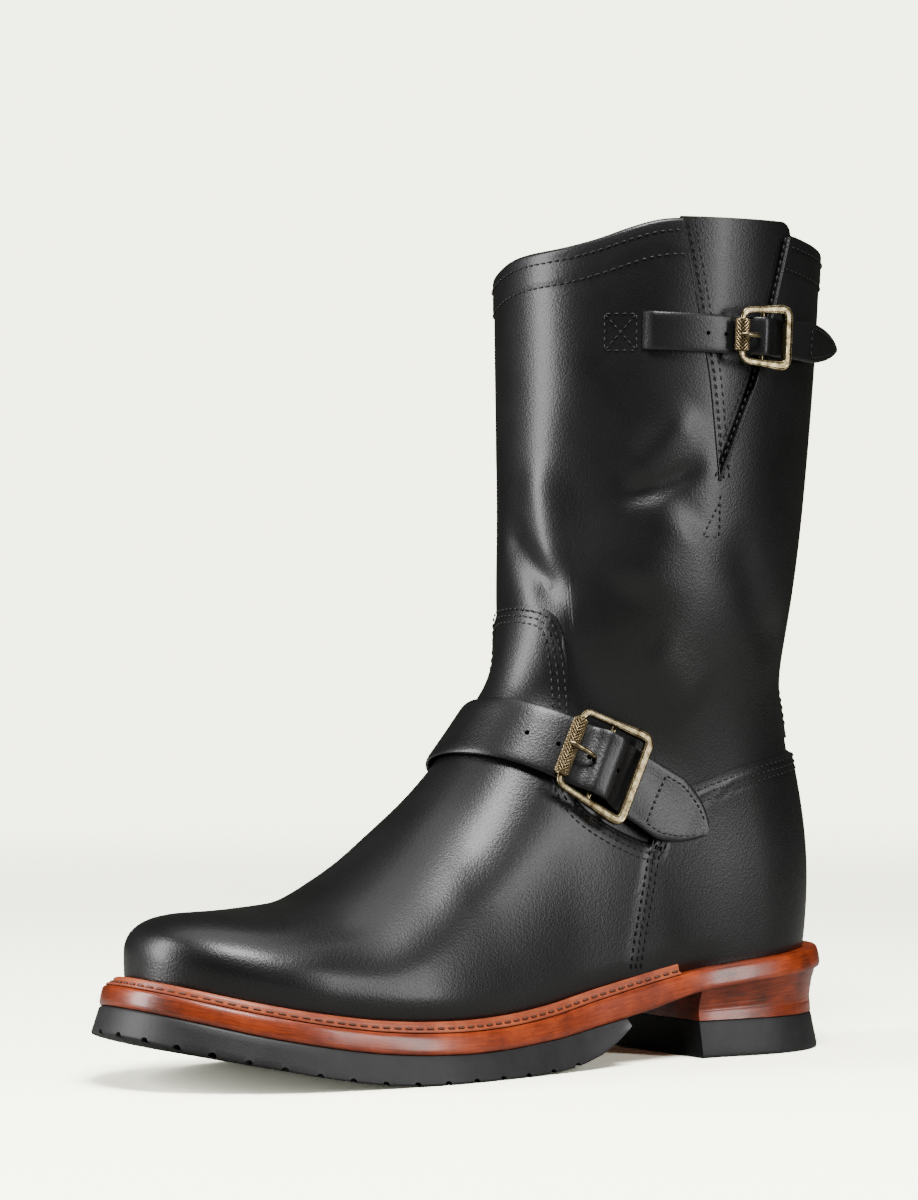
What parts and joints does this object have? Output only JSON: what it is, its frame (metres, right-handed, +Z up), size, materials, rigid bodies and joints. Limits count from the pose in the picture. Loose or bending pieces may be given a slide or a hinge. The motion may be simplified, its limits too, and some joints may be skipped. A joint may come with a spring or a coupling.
{
  "type": "engineer boot",
  "caption": "Left engineer boot of black leather with a buckled instep strap, a strapped gore at the shaft, a stitched welt and a stacked heel.",
  "frame": {"origin": "on the ground, at the middle of the heel's ground face", "axes": "+X towards the toe, +Y to the lateral side (the wearer's left), +Z up"},
  "size_m": [0.3014, 0.1204, 0.3062],
  "materials": {
    "upper_leather": "smooth black leather, polished",
    "insole_leather": "vegetable-tanned leather, matt",
    "welt_leather": "tan leather, waxed",
    "sole_leather": "tan leather, burnished edge",
    "sole_rubber": "black rubber, matt",
    "buckle_brass": "antique brass, worn"
  },
  "bodies": {
    "root": {"upper": "upper_leather", "insole": "insole_leather", "welt": "welt_leather", "midsole": "sole_leather", "outsole": "sole_rubber", "heel_stack": "sole_leather", "heel_top_lift": "sole_rubber", "gore": "upper_leather", "back_stay": "upper_leather", "shaft_strap": "upper_leather", "shaft_chape": "upper_leather", "instep_strap": "upper_leather", "instep_chape": "upper_leather", "shaft_buckle_frame": "buckle_brass", "shaft_buckle_roller": "buckle_brass", "shaft_buckle_prong": "buckle_brass", "instep_buckle_frame": "buckle_brass", "instep_buckle_roller": "buckle_brass", "instep_buckle_prong": "buckle_brass"}
  },
  "joints": []
}
